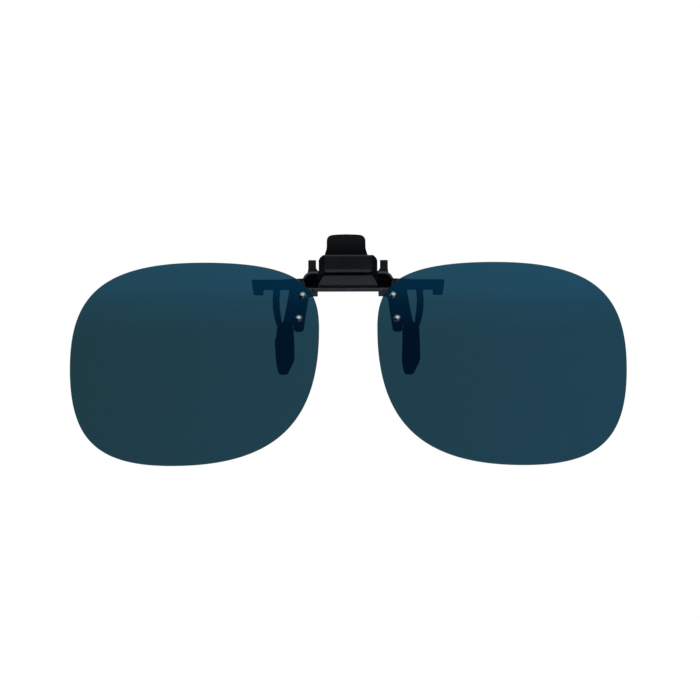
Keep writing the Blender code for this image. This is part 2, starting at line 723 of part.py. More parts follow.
def clamp_lever():
    """The lever: hub on the clamp pin, thumb tab above it, back plate and two rear legs below."""
    made = rod((CLAMP_Y, CLAMP_Z), HUB_RADIUS, -HUB_HALF, HUB_HALF, "X", ROUND_STEPS, "clamp_lever")
    tab = prism(tab_outline(), TAB_FRONT, TAB_BACK)
    move_points(tab, lambda p: Vector((p.x + TAB_OFFSET, p.y + TAB_LEAN * (p.z - CLAMP_Z), p.z)))
    plate = [
        (5.6 * MM, CLAMP_Z),
        (6.2 * MM, 4.0 * MM),
        (8.2 * MM, 3.0 * MM),
        (8.2 * MM, 0.9 * MM),
    ]
    plate += [(-x, z) for x, z in reversed(plate)]
    join(made, tab, prism(plate, PLATE_FRONT, PLATE_BACK))
    join(made, rear_leg(1), rear_leg(-1))
    low = (-SPRING_SLOT_HALF, CLAMP_Y - 2 * MM, CLAMP_Z - 1.6 * MM)
    high = (SPRING_SLOT_HALF, TAB_BACK, CLAMP_Z + 1.6 * MM)
    cut(made, box(low, high))
    cut(made, rod((CLAMP_Y, CLAMP_Z), CLAMP_PIN_RADIUS + RUNNING_GAP, -CLEAR, CLEAR))
    made.data.materials.append(material("clamp_lever", (0.008, 0.009, 0.010), 0.4))
    smooth(made)
    return made


def clamp_pin():
    made = rod((CLAMP_Y, CLAMP_Z), CLAMP_PIN_RADIUS, -EAR_OUTER, EAR_OUTER, "X", ROUND_STEPS, "clamp_pin")
    made.data.materials.append(material("clamp_pin", (0.5, 0.51, 0.52), 0.3, 1.0))
    smooth(made)
    return made


def torsion_spring():
    """The closing spring: a coil round the clamp pin, one tail forward onto the base, one up to the tab."""
    first, last = math.radians(-100), math.radians(160) + 2 * math.pi * COIL_TURNS
    steps = int(14 * COIL_TURNS + 10)
    length = COIL_PITCH * (last - first) / (2 * math.pi)
    path = []
    for k in range(steps + 1):
        angle = first + (last - first) * k / steps
        x = length * (k / steps - 0.5)
        y, z = COIL_RADIUS * math.cos(angle), COIL_RADIUS * math.sin(angle)
        path.append(Vector((x, CLAMP_Y + y, CLAMP_Z + z)))
    forward = Vector((0, math.sin(first), -math.cos(first)))
    upward = Vector((0, -math.sin(last), math.cos(last)))
    if upward.z < 0:
        upward.negate()
    path.insert(0, path[0] + forward * FORWARD_TAIL)
    path.append(path[-1] + upward * UPWARD_TAIL)
    sections = []
    for k, point in enumerate(path):
        along = (path[min(k + 1, len(path) - 1)] - path[max(k - 1, 0)]).normalized()
        side = along.cross(Vector((1, 0, 0))).normalized()
        other = along.cross(side)
        corners = arc((0, 0), WIRE_RADIUS, 0, 315, 7)
        sections.append([tuple(point + side * u + other * v) for u, v in corners])
    made = lofted(sections, "torsion_spring", ((0.6, 0.61, 0.62), 0.25, 1.0))
    smooth(made)
    return made


def grip(name, centre, middle_y, ridge):
    """A rubber sleeve over a leg's core, open at the top, whose tip leans towards -X.

    The ridge is the height of a small bump on its -X edge.
    """
    bump = ridge / MM
    edges = [
        (GRIP_TOP / MM, -1.8, 1.8, 1.7),
        (-9.0, -2.05, 2.0, 2.1),
        (-11.0, -2.1 - 0.2 * bump, 2.05, 2.2),
        (-11.9, -2.1 - bump, 2.1, 2.2),
        (-13.2, -2.15 - 0.9 * bump, 2.15, 2.2),
        (-14.9, -2.2 - 0.5 * bump, 2.2, 2.2),
        (-16.3, -2.25 - 0.2 * bump, 2.25, 2.2),
        (-17.5, -2.2, 1.9, 2.2),
        (-18.9, -1.95, 1.15, 2.1),
        (-19.7, -1.75, 0.8, 1.8),
        (-20.1, -1.5, 0.5, 1.4),
        (GRIP_TIP / MM, -1.2, 0.2, 0.8),
    ]
    stations = []
    for z, left, right, depth in edges:
        middle = centre + (left + right) / 2 * MM
        stations.append((middle, middle_y, z * MM, (right - left) * MM, depth / 2.2 * GRIP_DEPTH))
    made = ribbon(stations, 0.55 * MM, name, ((0.006, 0.006, 0.007), 0.6), 3)
    width, depth = 2 * (CORE_HALF + CORE_SLACK), CORE_DEPTH + 2 * CORE_SLACK
    hollow = [(centre, middle_y, z, width, depth) for z in (GRIP_TOP + MM, CORE_TIP - CORE_SLACK)]
    cut(made, ribbon(hollow, 0.1 * MM, "hollow"))
    smooth(made)
    return made


def build():
    carrier = [lens(), lens_bracket(), flip_pin()]
    carrier.append(mirrored(carrier[0], "lens_left"))
    for level, (x, z) in RIVETS.items():
        for side, sign in (("right", 1), ("left", -1)):
            carrier.append(rivet(f"rivet_{side}_{level}", (sign * x, z)))
            carrier.append(washer(f"washer_{side}_{level}", (sign * x, z)))
    hang("flip_axis", FLIP_Y, FLIP_Z, carrier)

    clip_base()
    detent_spring()
    spring_housing()
    clamp_pin()
    torsion_spring()
    clamp = [clamp_lever()]
    middle = (JAW_GAP + GRIP_DEPTH) / 2
    for side, sign, ridge in (("right", 1, 0), ("left", -1, RIDGE)):
        grip(f"front_grip_{side}", sign * GRIP_CENTRE, -middle, 0)
        clamp.append(grip(f"rear_grip_{side}", sign * GRIP_CENTRE, middle, ridge))
    hang("clamp_axis", CLAMP_Y, CLAMP_Z, clamp)


for old in list(bpy.data.objects):
    bpy.data.objects.remove(old)
build()
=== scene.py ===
import math

import bmesh
import bpy
import numpy as np
from mathutils import Matrix, Vector, geometry


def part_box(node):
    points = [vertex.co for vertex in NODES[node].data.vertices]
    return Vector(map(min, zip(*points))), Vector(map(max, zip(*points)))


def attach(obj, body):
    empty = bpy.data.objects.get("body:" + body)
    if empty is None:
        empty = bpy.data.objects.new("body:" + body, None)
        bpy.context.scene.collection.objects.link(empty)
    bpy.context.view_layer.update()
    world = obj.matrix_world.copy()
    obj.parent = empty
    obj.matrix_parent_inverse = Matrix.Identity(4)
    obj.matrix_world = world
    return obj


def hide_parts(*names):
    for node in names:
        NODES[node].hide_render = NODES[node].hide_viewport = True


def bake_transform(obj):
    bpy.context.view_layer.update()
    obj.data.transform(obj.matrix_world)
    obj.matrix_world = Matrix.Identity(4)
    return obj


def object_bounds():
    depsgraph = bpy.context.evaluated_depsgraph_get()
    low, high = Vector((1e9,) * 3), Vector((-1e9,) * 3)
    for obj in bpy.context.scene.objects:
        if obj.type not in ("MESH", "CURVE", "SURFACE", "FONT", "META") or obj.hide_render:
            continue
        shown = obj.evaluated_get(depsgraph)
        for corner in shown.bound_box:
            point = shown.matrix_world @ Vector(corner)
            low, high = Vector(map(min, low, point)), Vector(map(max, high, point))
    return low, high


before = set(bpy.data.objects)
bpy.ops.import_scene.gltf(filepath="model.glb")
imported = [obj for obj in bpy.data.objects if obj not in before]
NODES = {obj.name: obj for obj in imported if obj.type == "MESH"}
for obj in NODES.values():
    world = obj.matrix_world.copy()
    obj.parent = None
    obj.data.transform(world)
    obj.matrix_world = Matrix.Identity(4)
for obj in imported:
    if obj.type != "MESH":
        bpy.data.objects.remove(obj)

# Flip-up clip-on sunglasses: the looks. Lengths are in metres. The front is -Y, and +Z is up.
# The mouldings and grips are softened copies of their CAD nodes. The lenses, rivets and washers are made
# new on their CAD nodes' places. The two pins and the detent leaf keep their CAD shape.

MM = 0.001
CAD_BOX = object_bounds()
SIDES = ("right", "left")
LEVELS = ("upper", "lower")

# Mouldings: the grid they are rebuilt on, how often they are smoothed, and the share of faces kept.
GRID = 0.055 * MM
ROUND_PASSES = 5
FACE_SHARE, BASE_FACE_SHARE = 0.3, 0.22

# The pockets in the ends of the lens bracket, and the rim round them.
BRACKET_HALF, BRACKET_TOP, CORNER_RADIUS = 11.0 * MM, 4.6 * MM, 2.4 * MM
POCKET_WALL, POCKET_FLOOR, POCKET_INNER = 0.55 * MM, 0.65 * MM, 6.4 * MM
END_FRONT = -4.2 * MM
RIM_ROUND, RIM_DEPTH, RIM_DROP = 0.5 * MM, 0.7 * MM, 0.16 * MM
# How far behind the front of a bracket's end the painted shade on the pocket walls starts.
PAINTED_SHADE_START = 0.1 * MM

# The thumb tab leans back more and more from its foot to its top: by TAB_BEND times the height squared.
TAB_FOOT = 8.6 * MM
TAB_BEND = 15.0

# The top of a grip, this deep, is stretched up to meet the shoulder of its leg.
GRIP_COLLAR, GRIP_STRETCH = 0.4 * MM, 0.055 * MM

# Lenses. Points of the CAD outline closer together than CORNER_GAP count as one corner.
RIM_POINTS = 400
CORNER_GAP = 0.3 * MM
LENS_EDGE_ROUND = 0.16 * MM
LENS_RINGS = 14
RIVET_HOLE = 0.75 * MM
DRILL_REACH = 12 * MM

# Rivets: the domed head, its straight brim, the shank, and the tail with its punched dimple.
TURN_STEPS = 64
HEAD_HEIGHT, HEAD_BRIM, HEAD_BEVEL = 0.8 * MM, 0.13 * MM, 0.03 * MM
SHANK_RADIUS = 0.70 * MM
TAIL_RADIUS, TAIL_LENGTH, TAIL_SHOULDER = 0.95 * MM, 0.35 * MM, 0.04 * MM
TAIL_ROUND, TAIL_ROUND_START, TAIL_ROUND_DEPTH = 0.2 * MM, 0.16 * MM, 0.14 * MM
TAIL_CLEARANCE = 0.06 * MM
DIMPLE = [(0.45 * MM, 0), (0.3 * MM, 0.05 * MM), (0.12 * MM, 0.12 * MM), (0, 0.13 * MM)]

# Washers.
WASHER_HALF, WASHER_ROLL, WASHER_BEVEL = 0.125 * MM, 0.05 * MM, 0.02 * MM

# Nearly all values of a noise texture lie between these.
NOISE_LOW, NOISE_HIGH = 0.3, 0.7

# The light that shiny surfaces see in front of the object, as (height, brightness). The height is the
# sine of the angle above the horizon, so -1 is straight down.
SOFT_BOX = [
    (-1.0, 0.05), (-0.2, 0.01), (0.06, 0.02), (0.1, 0.14),
    (0.15, 0.4), (0.32, 1.0), (0.75, 0.9), (0.95, 0.25),
]

# The card in front: half its size, where it stands, and how brightly it glows at its right-hand side.
CARD_HALF, CARD_Y, CARD_Z, CARD_GLOW = 0.14, -0.15, -18 * MM, 0.3

# The floor: its radius and its height.
FLOOR_RADIUS, FLOOR_Z = 1.2, -0.1

# The camera: how far off it stands, its sensor's width in millimetres, how much wider than the object
# the picture is, where it points, and its slight roll in degrees.
CAMERA_DISTANCE, SENSOR = 4.0, 36.0
PICTURE_SHARE = 1.256
AIM_X, AIM_Z = 0.42 * MM, -14.35 * MM
CAMERA_ROLL = 0.16


# ---------------------------------------------------------------- node helpers


def new_material(name):
    """An empty material with a Principled shader on its output."""
    made = bpy.data.materials.new(name)
    made.use_nodes = True
    tree = made.node_tree
    tree.nodes.clear()
    out = tree.nodes.new("ShaderNodeOutputMaterial")
    shader = tree.nodes.new("ShaderNodeBsdfPrincipled")
    tree.links.new(shader.outputs[0], out.inputs["Surface"])
    return made, tree, shader


def add(tree, kind, settings=None, **inputs):
    """A node with its settings, and its inputs as values or as sockets to link from."""
    node = tree.nodes.new("ShaderNode" + kind)
    for key, value in (settings or {}).items():
        setattr(node, key, value)
    for key, value in inputs.items():
        socket = node.inputs[key.replace("_", " ")]
        if isinstance(value, bpy.types.NodeSocket):
            tree.links.new(value, socket)
        else:
            socket.default_value = value
    return node


def place_of(tree):
    """Where the shaded point is on the object at rest."""
    return tree.nodes.new("ShaderNodeTexCoord").outputs["Object"]


def noise(tree, scale, detail=3.0, roughness=0.55, vector=None):
    """Random mottling, which is finer where the scale is larger."""
    grain = {"Scale": scale, "Detail": detail, "Roughness": roughness}
    return add(tree, "TexNoise", None, Vector=vector or place_of(tree), **grain).outputs[0]


def ranged(tree, value, low, high, to_low, to_high, easing="LINEAR"):
    """The value, with the range from low to high mapped to the one from to_low to to_high."""
    span = {"From_Min": low, "From_Max": high, "To_Min": to_low, "To_Max": to_high}
    return add(tree, "MapRange", {"interpolation_type": easing}, Value=value, **span).outputs[0]


def eased(*values):
    """As ranged, with a smooth start and end."""
    return ranged(*values, easing="SMOOTHSTEP")


def spread(tree, texture, to_low, to_high):
    """A noise, with its usual range mapped to the one given."""
    return ranged(tree, texture, NOISE_LOW, NOISE_HIGH, to_low, to_high)


def combined(tree, operation, *values):
    """A Math node over sockets."""
    node = add(tree, "Math", {"operation": operation})
    for value, socket in zip(values, node.inputs):
        tree.links.new(value, socket)
    return node.outputs[0]


def mixed_colour(tree, factor, first, second):
    """The first colour where the factor is 0, the second where it is 1."""
    node = add(tree, "Mix", {"data_type": "RGBA"})
    tree.links.new(factor, node.inputs[0])
    node.inputs[6].default_value = (*first, 1.0)
    node.inputs[7].default_value = (*second, 1.0)
    return node.outputs[2]


def bump(tree, height, distance):
    """The surface direction over bumps of a height, where 1 stands for the distance."""
    return add(tree, "Bump", None, Height=height, Distance=distance).outputs[0]


# ---------------------------------------------------------------- materials


def moulded_plastic(name, colour, roughness, grain, shine=0.3):
    """Black moulded nylon: fine spark-eroded grain, faint flow clouds, and a satin that varies a little."""
    made, tree, shader = new_material(name)
    clouds = noise(tree, 350.0, 2.0)
    grit = noise(tree, 9000.0, 4.0)
    dark, light = ([share * c for c in colour] for share in (0.85, 1.2))
    tinted = mixed_colour(tree, spread(tree, clouds, 0.0, 1.0), dark, light)
    satin = spread(tree, clouds, roughness - 0.04, roughness + 0.06)
    tree.links.new(tinted, shader.inputs["Base Color"])
    tree.links.new(satin, shader.inputs["Roughness"])
    tree.links.new(bump(tree, grit, grain), shader.inputs["Normal"])
    shader.inputs["Specular IOR Level"].default_value = shine
    return made


def rubber():
    """Soft black rubber, nearly matt, with a pebbled skin."""
    made, tree, shader = new_material("grip_rubber")
    clouds = noise(tree, 500.0, 2.0)
    pebbles = add(tree, "TexVoronoi", None, Vector=place_of(tree), Scale=6000.0).outputs["Distance"]
    colour = mixed_colour(tree, clouds, (0.0045, 0.005, 0.0055), (0.009, 0.0095, 0.010))
    tree.links.new(colour, shader.inputs["Base Color"])
    tree.links.new(spread(tree, clouds, 0.62, 0.74), shader.inputs["Roughness"])
    tree.links.new(bump(tree, pebbles, 0.02 * MM), shader.inputs["Normal"])
    shader.inputs["Specular IOR Level"].default_value = 0.35
    return made


def steel(name, colour, gloss, brushed):
    """Bright steel with a faint cloudiness and fine lines, as fine along X, Y and Z as brushed says."""
    made, tree, shader = new_material(name)
    clouds = noise(tree, 900.0, 2.0)
    stretched = add(tree, "Mapping", None, Vector=place_of(tree)).outputs[0]
    stretched.node.inputs["Scale"].default_value = brushed
    lines = noise(tree, 1.0, 3.0, 0.6, stretched)
    darker = tuple(0.86 * c for c in colour)
    clouded = mixed_colour(tree, spread(tree, clouds, 0.0, 1.0), darker, colour)
    tree.links.new(clouded, shader.inputs["Base Color"])
    tree.links.new(spread(tree, lines, 0.8 * gloss, 1.3 * gloss), shader.inputs["Roughness"])
    tree.links.new(bump(tree, lines, 0.002 * MM), shader.inputs["Normal"])
    shader.inputs["Metallic"].default_value = 1.0
    return made


def tinted_lens():
    """Dark grey-teal polarised sheet with a blue antireflection coat on its polished faces."""
    made, tree, shader = new_material("tinted_lens")
    smears = noise(tree, 120.0, 4.0)
    waves = noise(tree, 60.0, 1.0)
    tree.links.new(ranged(tree, smears, 0.45, 0.8, 0.0, 0.035), shader.inputs["Roughness"])
    tree.links.new(bump(tree, waves, 0.02 * MM), shader.inputs["Normal"])
    shader.inputs["Base Color"].default_value = (0.0145, 0.0475, 0.065, 1.0)
    shader.inputs["Transmission Weight"].default_value = 1.0
    shader.inputs["IOR"].default_value = 1.8
    shader.inputs["Specular IOR Level"].default_value = 1.0
    shader.inputs["Specular Tint"].default_value = (0.03, 0.48, 1.0, 1.0)
    return made


def lens_edge():
    """The cut and polished edge of the lens, darker than its faces and faintly scratched."""
    made, tree, shader = new_material("lens_edge")
    scratches = noise(tree, 2500.0, 3.0)
    tree.links.new(spread(tree, scratches, 0.12, 0.3), shader.inputs["Roughness"])
    tree.links.new(bump(tree, scratches, 0.004 * MM), shader.inputs["Normal"])
    shader.inputs["Base Color"].default_value = (0.006, 0.022, 0.030, 1.0)
    shader.inputs["Transmission Weight"].default_value = 1.0
    shader.inputs["IOR"].default_value = 1.5
    shader.inputs["Specular IOR Level"].default_value = 0.3
    return made


def make_materials():
    """Every finish by its key. A moulded plastic's numbers are its colour, roughness, grain and shine."""
    even, along, across = (5000.0, 5000.0, 5000.0), (300.0, 9000.0, 9000.0), (9000.0, 300.0, 9000.0)
    return {
        "bracket": moulded_plastic("bracket_nylon", (0.023, 0.027, 0.030), 0.28, 0.003 * MM),
        # Painted shade: a near-black, dull copy of the nylon on the pocket walls, standing in for the shade
        # deep in the pockets.
        "painted_pocket_shade": moulded_plastic("painted_shade_nylon", (0.0024, 0.0016, 0.0017), 0.9, 0.004 * MM, 0.1),
        "base": moulded_plastic("base_nylon", (0.009, 0.0125, 0.014), 0.30, 0.003 * MM, 0.2),
        "housing": moulded_plastic("housing_nylon", (0.0025, 0.0035, 0.0045), 0.27, 0.003 * MM),
        "lever": moulded_plastic("lever_nylon", (0.0003, 0.0003, 0.0003), 0.22, 0.002 * MM, 0.11),
        "rubber": rubber(),
        # Painted reflection: the rivet steel is tinted teal to take on the colour of the lens it reflects;
        # apart from that it is plain bright steel.
        "rivet": steel("rivet_steel", (0.56, 0.66, 0.68), 0.12, even),
        "washer": steel("washer_steel", (0.58, 0.60, 0.61), 0.30, across),
        "pin": steel("pin_steel", (0.52, 0.53, 0.54), 0.28, along),
        # Painted shade: the flip pin's steel is made near-black so the pin disappears into the shade of the
        # pockets.
        "shade_dark_pin": steel("blackened_steel", (0.008, 0.007, 0.007), 0.6, along),
        "spring": steel("spring_steel", (0.60, 0.61, 0.62), 0.24, along),
        "lens": tinted_lens(),
        "edge": lens_edge(),
    }


# ---------------------------------------------------------------- mesh helpers


def linked(name, mesh, *materials):
    """A new object in the scene, with the mesh and its materials."""
    made = bpy.data.objects.new(name, mesh)
    bpy.context.scene.collection.objects.link(made)
    for finish in materials:
        mesh.materials.append(finish)
    return made


def with_modifiers(mesh, modifiers):
    """The mesh after a list of (type, settings) modifiers."""
    carrier = linked("carrier", mesh)
    for kind, settings in modifiers:
        modifier = carrier.modifiers.new(kind, kind)
        for key, value in settings.items():
            setattr(modifier, key, value)
    bpy.context.view_layer.update()
    graph = bpy.context.evaluated_depsgraph_get()
    result = bpy.data.meshes.new_from_object(carrier.evaluated_get(graph))
    bpy.data.objects.remove(carrier)
    return result


def settle(piece, body, slot, *nodes):
    """Gives a finished piece its body and hides the CAD nodes it stands for. The slot is not used."""
    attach(piece, body)
    if nodes:
        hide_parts(*nodes)
    return piece


def reshape(mesh, rule):
    """Moves every point of a mesh to rule(x, y, z), which works on whole columns at once."""
    flat = np.empty(3 * len(mesh.vertices))
    mesh.vertices.foreach_get("co", flat)
    moved = np.stack(rule(*flat.reshape(-1, 3).T), axis=1)
    mesh.vertices.foreach_set("co", moved.ravel())
    mesh.update()


def softened(node, name, finish, share=FACE_SHARE):
    """A copy of a moulded CAD piece with its edges and inside corners rounded, as from a mould.

    It is worked on in millimetres, because the modifiers are too coarse for metres.
    """
    mesh = NODES[node].data.copy()
    mesh.materials.clear()
    mesh.transform(Matrix.Scale(1 / MM, 4))
    made = with_modifiers(
        mesh,
        [
            ("REMESH", {"mode": "VOXEL", "voxel_size": GRID / MM}),
            ("SMOOTH", {"factor": 0.5, "iterations": ROUND_PASSES}),
            ("DECIMATE", {"ratio": share}),
        ],
    )
    made.transform(Matrix.Scale(MM, 4))
    made.shade_smooth()
    return linked(name, made, finish)


def grip(row, side, body, finish):
    """A rubber sleeve, pushed up against the shoulder of its leg."""
    node = f"{row}_grip_{side}"
    made = softened(node, f"rubber_{node}", finish)
    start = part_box(node)[1].z - GRIP_COLLAR

    def up(x, y, z):
        return x, y, z + GRIP_STRETCH * np.clip((z - start) / GRIP_COLLAR, 0, 1)

    reshape(made.data, up)
    return settle(made, body, "rubber_grip", node)


def inside_outline(x, z):
    """How far inside the outline of the bracket's end a point lies."""
    across, up = np.abs(x) - (BRACKET_HALF - CORNER_RADIUS), z - (BRACKET_TOP - CORNER_RADIUS)
    corner = CORNER_RADIUS - np.hypot(np.maximum(across, 0), np.maximum(up, 0))
    return np.where((across > 0) & (up > 0), corner, CORNER_RADIUS - np.maximum(across, up))


def bracket(finish, painted_pocket_shade):
    """The lens bracket: its ends have a rounded rim round a pocket, whose walls get a near-black dull
    material as painted shade.
    """
    made = softened("lens_bracket", "bracket_moulding", finish)
    mesh = made.data
    mesh.materials.append(painted_pocket_shade)

    def round_rim(x, y, z):
        at_edge = np.clip(1 - inside_outline(x, z) / RIM_ROUND, 0, 1) ** 2
        at_front = np.clip(1 - (y - END_FRONT) / RIM_DEPTH, 0, 1)
        above_bar = np.clip((z - POCKET_FLOOR) / RIM_ROUND, 0, 1)
        drop = RIM_DROP * at_edge * at_front * above_bar
        return x, y + np.where(np.abs(x) > POCKET_INNER, drop, 0), z

    reshape(mesh, round_rim)
    # Painted shade: faces inside each pocket get the second, near-black material.
    for polygon in mesh.polygons:
        x, y, z = polygon.center
        inside = inside_outline(x, z) > POCKET_WALL - 0.5 * GRID and z > POCKET_FLOOR - GRID
        if inside and abs(x) > POCKET_INNER and y > END_FRONT + PAINTED_SHADE_START:
            polygon.material_index = 1
    return settle(made, "lens_carrier", "black_moulding", "lens_bracket")


def lever(finish):
    """The clamp lever, whose thumb tab curves gently backwards towards its top."""
    made = softened("clamp_lever", "thumb_lever", finish)
    reshape(made.data, lambda x, y, z: (x, y + TAB_BEND * np.maximum(z - TAB_FOOT, 0) ** 2, z))
    return settle(made, "clamp", "black_moulding", "clamp_lever")


def closing_spring(finish):
    """The clamp's torsion spring: its CAD coil, welded and smoothed."""
    node = "torsion_spring"
    mesh = NODES[node].data.copy()
    mesh.materials.clear()
    weld(mesh)
    made = linked("closing_spring", with_modifiers(mesh, [("SUBSURF", {"levels": 1})]), finish)
    made.data.shade_smooth()
    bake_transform(made)
    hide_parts(node)


# ---------------------------------------------------------------- lenses


def lens_rim(node):
    """The lens outline as smooth closed (x, z) points, drawn through the outline of the CAD lens."""
    flat = [Vector((v.co.x, v.co.z)) for v in NODES[node].data.vertices]
    hull = [flat[i] for i in geometry.convex_hull_2d(flat)]
    corners = [hull[0]]
    for point in hull[1:]:
        if (point - corners[-1]).length > CORNER_GAP:
            corners.append(point)
    if (corners[0] - corners[-1]).length < CORNER_GAP:
        corners.pop()
    lengths = [(corners[i] - corners[i - 1]).length for i in range(len(corners))]
    total = sum(lengths)
    rim = []
    for k in range(RIM_POINTS):
        along = total * k / RIM_POINTS
        i = 0
        while along > lengths[(i + 1) % len(corners)]:
            i += 1
            along -= lengths[i % len(corners)]
        rim.append(through(corners, i, along / lengths[(i + 1) % len(corners)]))
    return rim


def through(corners, i, t):
    """A point of the smooth curve through the corners, a share t of the way from corner i to the next."""
    a, b, c, d = (corners[(i + k) % len(corners)] for k in (-1, 0, 1, 2))
    squared, cubed = 2 * a - 5 * b + 4 * c - d, 3 * b - a - 3 * c + d
    return 0.5 * (2 * b + (c - a) * t + squared * t * t + cubed * t**3)


def face_fit(node, facing):
    """Coefficients of y = a + b x + c z + d (x2 + z2) over the lens face whose normal's y has that sign."""
    mesh = NODES[node].data
    picked = {v for p in mesh.polygons if facing * p.normal.y > 0.95 for v in p.vertices}
    points = np.array([mesh.vertices[v].co for v in sorted(picked)])
    x, y, z = points.T
    terms = np.stack([np.ones_like(x), x, z, x * x + z * z], axis=1)
    return np.linalg.lstsq(terms, y, rcond=None)[0]


def height(fit, x, z):
    """How far back (y) the lens face lies at a point."""
    a, b, c, d = fit
    return a + b * x + c * z + d * (x * x + z * z)


def slope(fit, x, z):
    """How fast the lens face moves back with x and with z."""
    return fit[1] + 2 * fit[3] * x, fit[2] + 2 * fit[3] * z


def lens_rings(front, back, inset):
    """The rings of a lens from the middle of its front to the middle of its back.

    Each is (share of the outline's size, the fit of its face, distance behind that face).
    """
    flat = [((1 - inset) * (k + 1) / LENS_RINGS, 0) for k in range(LENS_RINGS)]
    turns = [math.radians(15 * k) for k in range(1, 7)]
    edge = [(1 - inset * (1 - math.sin(a)), LENS_EDGE_ROUND * (1 - math.cos(a))) for a in turns]
    half = flat + edge
    outwards = [(share, front, depth) for share, depth in half]
    inwards = [(share, back, -depth) for share, depth in reversed(half)]
    return outwards + inwards


def lens(side, finishes):
    """A fine curved lens with a rounded polished edge and its two rivet holes."""
    node = f"lens_{side}"
    rim = lens_rim(node)
    front, back = face_fit(node, -1), face_fit(node, 1)
    low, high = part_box(node)
    middle = Vector(((low.x + high.x) / 2, (low.z + high.z) / 2))
    rings = lens_rings(front, back, LENS_EDGE_ROUND / ((high.x - low.x) / 2))
    bm = bmesh.new()
    loops = []
    for share, fit, depth in rings:
        flat = [middle + (p - middle) * share for p in rim]
        loops.append([bm.verts.new((p.x, height(fit, p.x, p.y) + depth, p.y)) for p in flat])
    for near, far in zip(loops, loops[1:]):
        for i in range(RIM_POINTS):
            j = (i + 1) % RIM_POINTS
            bm.faces.new((near[i], near[j], far[j], far[i]))
    for loop, fit in ((loops[0], front), (loops[-1], back)):
        tip = bm.verts.new((middle.x, height(fit, *middle), middle.y))
        for i in range(RIM_POINTS):
            bm.faces.new((loop[i], tip, loop[(i + 1) % RIM_POINTS]))
    bmesh.ops.recalc_face_normals(bm, faces=bm.faces)
    mesh = bpy.data.meshes.new(f"tinted_lens_{side}")
    bm.to_mesh(mesh)
    bm.free()
    holes = [drill(side, level) for level in LEVELS]
    cuts = [("BOOLEAN", {"operation": "DIFFERENCE", "solver": "EXACT", "object": hole}) for hole in holes]
    mesh = with_modifiers(mesh, cuts)
    for hole in holes:
        bpy.data.objects.remove(hole)
    mesh.shade_smooth()
    shade_lens(mesh, front, back)
    made = linked(f"tinted_lens_{side}", mesh, *finishes)
    return settle(made, "lens_carrier", "tinted_lens", node)


def shade_lens(mesh, front, back):
    """Gives the two faces the true curve's normals, and the edge and the holes their own material."""
    normals = []
    for polygon in mesh.polygons:
        is_face = abs(polygon.normal.y) > 0.97
        polygon.material_index = 0 if is_face else 1
        facing = 1 if polygon.normal.y > 0 else -1
        for index in polygon.loop_indices:
            loop = mesh.loops[index]
            if is_face:
                co = mesh.vertices[loop.vertex_index].co
                along_x, along_z = slope(back if facing > 0 else front, co.x, co.z)
                normals.append(Vector((-along_x, 1, -along_z)).normalized() * facing)
            else:
                normals.append(mesh.corner_normals[index].vector.copy())
    mesh.normals_split_custom_set(normals)


def rivet_place(side, level):
    """(x, z) of a rivet's axis, from the CAD rivet."""
    low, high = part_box(f"rivet_{side}_{level}")
    return (low.x + high.x) / 2, (low.z + high.z) / 2


def drill(side, level):
    """A cylinder through the lens where a rivet goes, to cut its hole with."""
    profile = [(0, -DRILL_REACH), (RIVET_HOLE, -DRILL_REACH), (RIVET_HOLE, 0), (0, 0)]
    return linked("drill", turned(profile, rivet_place(side, level), "drill", 40))


# ---------------------------------------------------------------- rivets and washers


def turned(profile, centre, name, steps=TURN_STEPS, lean=(0, 0)):
    """A closed mesh turned about an axis along Y, leaning with a surface. The profile is (radius, y)."""
    bm = bmesh.new()
    rings = []
    for radius, y in profile:
        count = steps if radius else 1
        ring = []
        for k in range(count):
            angle = 2 * math.pi * k / count
            u, v = radius * math.cos(angle), radius * math.sin(angle)
            ring.append(bm.verts.new((centre[0] + u, y + lean[0] * u + lean[1] * v, centre[1] + v)))
        rings.append(ring)
    for near, far in zip(rings, rings[1:]):
        for i in range(steps):
            j = (i + 1) % steps
            corners = [near[i % len(near)], near[j % len(near)], far[j % len(far)], far[i % len(far)]]
            bm.faces.new(list(dict.fromkeys(corners)))
    bmesh.ops.recalc_face_normals(bm, faces=bm.faces)
    mesh = bpy.data.meshes.new(name)
    bm.to_mesh(mesh)
    bm.free()
    mesh.shade_smooth()
    mesh.set_sharp_from_angle(angle=math.radians(40))
    return mesh


def lean_at_rivets(side):
    """The slope of the lens face midway between its two rivets, which the rivets and washers share."""
    places = [rivet_place(side, level) for level in LEVELS]
    x, z = (sum(values) / 2 for values in zip(*places))
    return slope(face_fit(f"lens_{side}", -1), x, z)


def rivet(side, level, finish):
    """Polished domed head with a straight brim, shank, and a clenched tail with a punched dimple."""
    node = f"rivet_{side}_{level}"
    low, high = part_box(node)
    radius = (high.z - low.z) / 2
    top, end = low.y, high.y - TAIL_CLEARANCE
    head, tail = top + HEAD_HEIGHT, end - TAIL_LENGTH
    dome = HEAD_HEIGHT - HEAD_BRIM
    profile = [(0, top)]
    for k in range(1, 13):
        angle = math.radians(90 - 7.5 * k)
        profile.append((radius * math.cos(angle), head - HEAD_BRIM - dome * math.sin(angle)))
    profile += [(radius, head - HEAD_BEVEL), (radius - HEAD_BEVEL, head), (SHANK_RADIUS, head)]
    profile += [(SHANK_RADIUS, tail), (TAIL_RADIUS - HEAD_BEVEL, tail), (TAIL_RADIUS, tail + TAIL_SHOULDER)]
    for k in range(7):
        angle = math.radians(15 * k)
        inwards, back = TAIL_ROUND * (1 - math.cos(angle)), TAIL_ROUND_DEPTH * math.sin(angle)
        profile.append((TAIL_RADIUS - inwards, end - TAIL_ROUND_START + back))
    profile += [(r, end - depth) for r, depth in DIMPLE]
    mesh = turned(profile, rivet_place(side, level), f"steel_{node}", lean=lean_at_rivets(side))
    return settle(linked(f"steel_{node}", mesh, finish), "lens_carrier", "rivet_steel", node)


